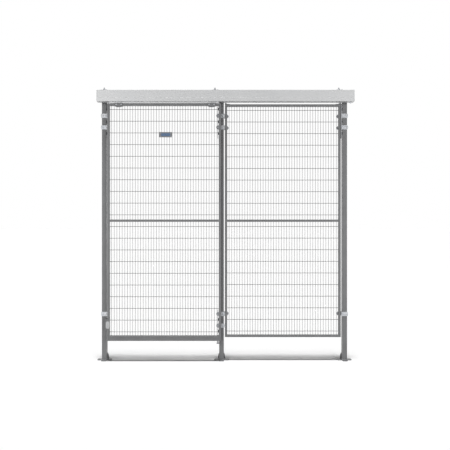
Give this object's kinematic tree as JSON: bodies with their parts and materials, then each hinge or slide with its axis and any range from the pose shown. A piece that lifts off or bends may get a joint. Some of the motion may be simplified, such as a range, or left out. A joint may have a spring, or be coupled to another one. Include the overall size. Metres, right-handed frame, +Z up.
{
  "type": "wire mesh partition with sliding door",
  "caption": "Free-standing partition of tube posts on cross feet with a fixed welded mesh panel and a mesh door that slides on wheels in an overhead rail.",
  "frame": {"origin": "bottom centre of the bounding box, on the floor", "axes": "+Z up, -Y towards the front where the door runs, +X the way the door slides open"},
  "size_m": [2.1994, 0.15, 2.3353],
  "materials": {
    "steel": "satin grey powder coat",
    "wire": "satin grey powder coat on welded wire",
    "aluminium": "fine matt anodised",
    "zinc": "bright zinc plated",
    "dark_plastic": "fine grained moulded",
    "pale_plastic": "fine grained moulded",
    "plate": "satin blue with a grey rim"
  },
  "bodies": {
    "frame": {"post_left": "steel", "post_middle": "steel", "post_right": "steel", "post_cap_left": "dark_plastic", "post_cap_middle": "dark_plastic", "post_cap_right": "dark_plastic", "foot_left": "steel", "foot_middle": "steel", "foot_right": "steel", "panel_stile_left": "steel", "panel_stile_right": "steel", "panel_top_bar": "steel", "panel_middle_bar": "steel", "panel_bottom_bar": "steel", "panel_mesh": "wire", "panel_tie_left": "steel", "panel_tie_right": "steel", "rail_fascia": "aluminium", "rail_track": "aluminium", "rail_end_cap_left": "aluminium", "rail_end_cap_right": "aluminium", "rail_end_bolt": "zinc", "rail_bracket_left": "zinc", "rail_bracket_middle": "zinc", "rail_bracket_right": "zinc", "track_stop_left": "dark_plastic", "track_stop_right": "dark_plastic", "clamp_left_1": "zinc", "clamp_left_2": "zinc", "clamp_left_3": "zinc", "clamp_middle_1": "zinc", "clamp_middle_2": "zinc", "clamp_middle_3": "zinc", "clamp_middle_4": "zinc", "clamp_right_1": "zinc", "clamp_right_2": "zinc", "clamp_right_3": "zinc", "guide_bracket": "zinc", "catch_bracket": "steel", "catch_plate": "pale_plastic"},
    "door": {"door_stile_left": "steel", "door_stile_right": "steel", "door_top_bar": "steel", "door_middle_bar": "steel", "door_bottom_bar": "steel", "door_mesh": "wire", "door_guide_channel": "steel", "door_top_strip": "aluminium", "door_plate": "plate", "hanger_left": "steel", "hanger_right": "steel", "trolley_left": "zinc", "trolley_right": "zinc"},
    "wheels_left_a": {"wheel_pair_left_a": "dark_plastic"},
    "wheels_left_b": {"wheel_pair_left_b": "dark_plastic"},
    "wheels_right_a": {"wheel_pair_right_a": "dark_plastic"},
    "wheels_right_b": {"wheel_pair_right_b": "dark_plastic"},
    "roller": {"guide_roller": "dark_plastic"}
  },
  "joints": [
    {"name": "door_slide", "type": "slide", "parent": "frame", "child": "door", "axis": [1, 0, 0], "range_m": [0, 0.93]},
    {"name": "wheels_left_a_spin", "type": "hinge", "parent": "door", "child": "wheels_left_a", "pos_m": [-0.93565, -0.038, 2.2313], "axis": [0, 1, 0], "continuous": true},
    {"name": "wheels_left_b_spin", "type": "hinge", "parent": "door", "child": "wheels_left_b", "pos_m": [-0.87965, -0.038, 2.2313], "axis": [0, 1, 0], "continuous": true},
    {"name": "wheels_right_a_spin", "type": "hinge", "parent": "door", "child": "wheels_right_a", "pos_m": [-0.14365, -0.038, 2.2313], "axis": [0, 1, 0], "continuous": true},
    {"name": "wheels_right_b_spin", "type": "hinge", "parent": "door", "child": "wheels_right_b", "pos_m": [-0.08765, -0.038, 2.2313], "axis": [0, 1, 0], "continuous": true},
    {"name": "guide_roller_spin", "type": "hinge", "parent": "frame", "child": "roller", "pos_m": [-0.06265, -0.038, 0.1862], "axis": [0, 0, 1], "continuous": true}
  ],
  "couplings": [
    {"joint": "wheels_left_a_spin", "follows": "door_slide", "rad_per_m": 71.429},
    {"joint": "wheels_left_b_spin", "follows": "door_slide", "rad_per_m": 71.429},
    {"joint": "wheels_right_a_spin", "follows": "door_slide", "rad_per_m": 71.429},
    {"joint": "wheels_right_b_spin", "follows": "door_slide", "rad_per_m": 71.429},
    {"joint": "guide_roller_spin", "follows": "door_slide", "rad_per_m": -86.957}
  ]
}
